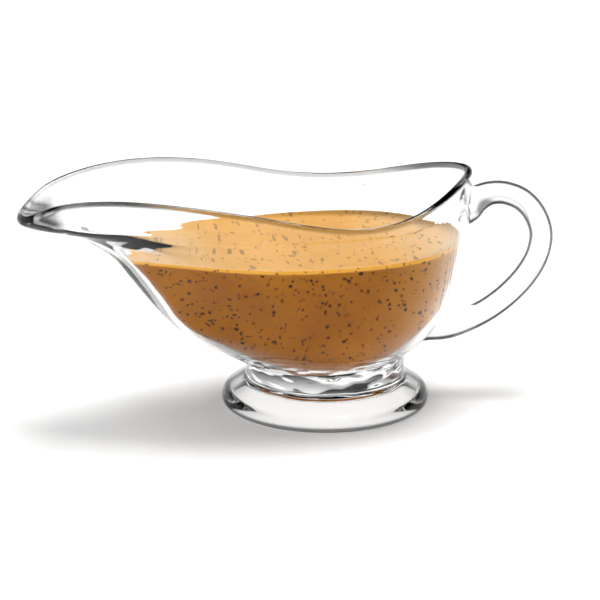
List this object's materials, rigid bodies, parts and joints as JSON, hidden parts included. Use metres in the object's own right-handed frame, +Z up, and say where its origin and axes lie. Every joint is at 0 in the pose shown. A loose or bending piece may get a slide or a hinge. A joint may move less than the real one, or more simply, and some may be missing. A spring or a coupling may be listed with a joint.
{
  "type": "gravy boat",
  "caption": "Footed clear glass gravy boat with a long pouring spout and a looped handle, part filled with brown herb gravy.",
  "frame": {"origin": "centre of the round foot, on the surface that the boat stands on", "axes": "+X towards the handle, -X towards the spout, +Y to the side, +Z up"},
  "size_m": [0.2152, 0.0872, 0.0952],
  "materials": {
    "clear_glass": "clear fire-polished pressed glass, smooth, with soft rounded rims",
    "gravy": "thick opaque brown gravy with dark herb flecks and a wet, slightly satin surface"
  },
  "bodies": {
    "root": {"bowl": "clear_glass", "foot": "clear_glass", "handle": "clear_glass", "gravy": "gravy"}
  },
  "joints": []
}
